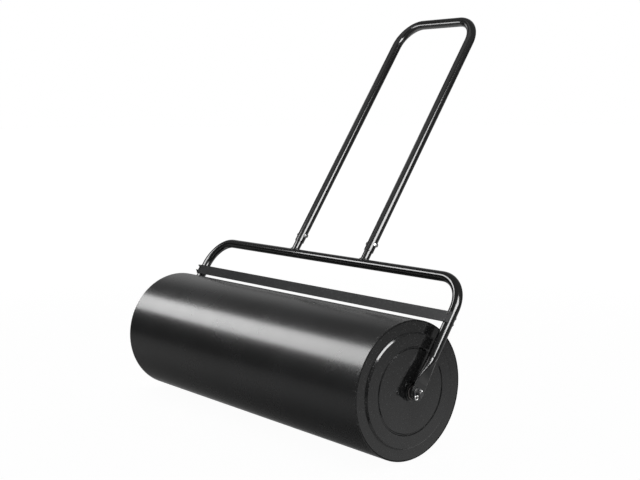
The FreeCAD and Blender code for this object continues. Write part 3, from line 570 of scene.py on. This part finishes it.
def patch(direction, inner, outer, value, under):
    """Adds a soft round patch of light to the surroundings; angles in degrees."""
    dot = wn("ShaderNodeVectorMath", operation="DOT_PRODUCT")
    dot.inputs[1].default_value = Vector(direction).normalized()
    nt.links.new(coord.outputs["Generated"], dot.inputs[0])
    lobe = wn("ShaderNodeMapRange", interpolation_type="SMOOTHSTEP")
    lobe.inputs["From Min"].default_value = math.cos(math.radians(outer))
    lobe.inputs["From Max"].default_value = math.cos(math.radians(inner))
    lobe.inputs["To Min"].default_value = 0.0
    lobe.inputs["To Max"].default_value = value
    nt.links.new(dot.outputs["Value"], lobe.inputs["Value"])
    total = wn("ShaderNodeMix", data_type="RGBA", blend_type="ADD")
    total.inputs[0].default_value = 1.0
    nt.links.new(under, total.inputs[6])
    nt.links.new(lobe.outputs["Result"], total.inputs[7])
    return total.outputs[2]


around = ramp.outputs["Color"]
# Low on the right, which gives the end cap its sheen.
around = patch((0.655, 0.655, -0.375), 5, 12, 0.36, around)
# The pale floor behind, seen in the far edges of the axle and washers.
around = patch((-0.05, 0.78, -0.62), 8, 22, 0.9, around)
# The pale backdrop itself, which only grazing reflections reach.
around = patch((-0.77, 0.63, 0.10), 18, 40, 0.30, around)
nt.links.new(around, dim.inputs["Color"])
nt.links.new(path.outputs["Is Camera Ray"], pick.inputs[0])
nt.links.new(dim.outputs[0], pick.inputs[1])
nt.links.new(back.outputs[0], pick.inputs[2])
nt.links.new(pick.outputs[0], out.inputs["Surface"])


def area(name, pos, target, sx, sy, radiance, shines_on=None):
    """A softbox: sx runs along X as far as the facing allows. shines_on limits what it lights."""
    data = bpy.data.lights.new(name, "AREA")
    data.shape = "RECTANGLE"
    data.size, data.size_y = sx, sy
    data.energy = radiance * math.pi * sx * sy
    obj = bpy.data.objects.new(name, data)
    scene.collection.objects.link(obj)
    obj.location = pos
    z = (Vector(pos) - Vector(target)).normalized()
    x = Vector((1, 0, 0)) if abs(z.x) < 0.9 else Vector((0, 1, 0))
    x = (x - x.dot(z) * z).normalized()
    y = z.cross(x)
    obj.rotation_mode = "QUATERNION"
    obj.rotation_quaternion = Matrix((x, y, z)).transposed().to_quaternion()
    obj.visible_camera = False
    if shines_on is not None:
        group = bpy.data.collections.new(name + "_shines_on")
        for o in shines_on:
            group.objects.link(o)
        obj.light_linking.receiver_collection = group
    return obj


def strip(name, centre, psi, reach, x_lo, x_hi, half_angle, radiance, shines_on):
    """A softbox parallel to the axle, psi degrees above the front of a point (y, z)."""
    a = math.radians(psi)
    y, z = centre
    ly, lz = y - math.cos(a) * reach, z + math.sin(a) * reach
    width = 2 * reach * math.tan(math.radians(half_angle))
    mid = (x_lo + x_hi) / 2
    return area(name, (mid, ly, lz), (mid, y, z), x_hi - x_lo, width, radiance, shines_on)


SHELL = [nodes["drum_shell"]]
CAPS = [nodes[n] for n in nodes if n.endswith("end_cap") or n in ("filler_plug", "plug_seal")]
HUBS = [nodes[n] for n in nodes if n.endswith(("hub_ring", "hub_bush", "spacer", "centre_tube"))] + [HUB_R, HUB_L]
SCRAPE = [nodes["scraper_bar"]]
TUBES = [o for o in nodes.values() if o not in SHELL + CAPS + SCRAPE + HUBS]
TUBES += [BOLTS, NUTS, BEADS, SCREWS, LOCKS]
HANDLES = [nodes["handle_tube"], nodes["right_spigot"], nodes["left_spigot"], BEADS]
PINS = [nodes["right_split_pin"], nodes["left_split_pin"]]

strip("key_drum", (-0.120, 0.246), 54.5, 1.5, -3.3, 2.8, 17.2, 6.6, SHELL)
strip("key_cap", (-0.076, 0.248), 78, 1.5, -3.0, 1.2, 22, 12.0, CAPS)
strip("left_box", (0.153, 0.377), 42, 0.94, -1.25, -0.35, 11, 8.5, TUBES)
area("right_box", (1.40, 0.0, 1.08), (0.13, 0.24, 0.50), 0.95, 0.80, 12.0, TUBES)
area("bar_near", (0.05, -0.42, 0.98), (0.45, 0.087, 0.305), 0.4, 0.4, 3.6, SCRAPE)
area("bar_wide", (0.0, -2.2, 1.6), (0.0, 0.09, 0.30), 3.0, 2.0, 0.6, SCRAPE)
area("floor_bounce", (-1.0, 0.5, 0.02), (-1.0, 0.5, 1.0), 1.8, 1.8, 0.55, HANDLES)
area("handle_fill", (-0.3, -0.9, 2.5), (0.1, 0.35, 0.7), 2.6, 2.6, 0.33, HANDLES)
area("handle_rim", (-1.75, 0.35, 1.45), (0.0, 0.3, 0.6), 0.5, 0.5, 1.6, HANDLES)
area("pin_fill", (1.5, 0.7, 0.5), (0.48, 0.0, 0.15), 1.4, 1.4, 0.95, PINS)

# --------------------------------------------------------------------- camera
cam = bpy.data.cameras.new("camera")
cam_obj = bpy.data.objects.new("camera", cam)
scene.collection.objects.link(cam_obj)
scene.camera = cam_obj
cam.sensor_width = 36.0
cam.lens = 1106.94 * 36.0 / 640.0
cam.clip_start, cam.clip_end = 0.05, 200.0
yaw, pitch, roll = math.radians(50.312), math.radians(6.853), math.radians(-0.403)
turn = Matrix.Rotation(yaw, 3, "Z") @ Matrix.Rotation(math.radians(90) - pitch, 3, "X") @ Matrix.Rotation(roll, 3, "Z")
cam_obj.rotation_mode = "QUATERNION"
cam_obj.rotation_quaternion = turn.to_quaternion()
cam_obj.location = (2.0968, -1.6083, 0.7523)

scene.view_settings.view_transform = "Standard"
scene.view_settings.look = "None"
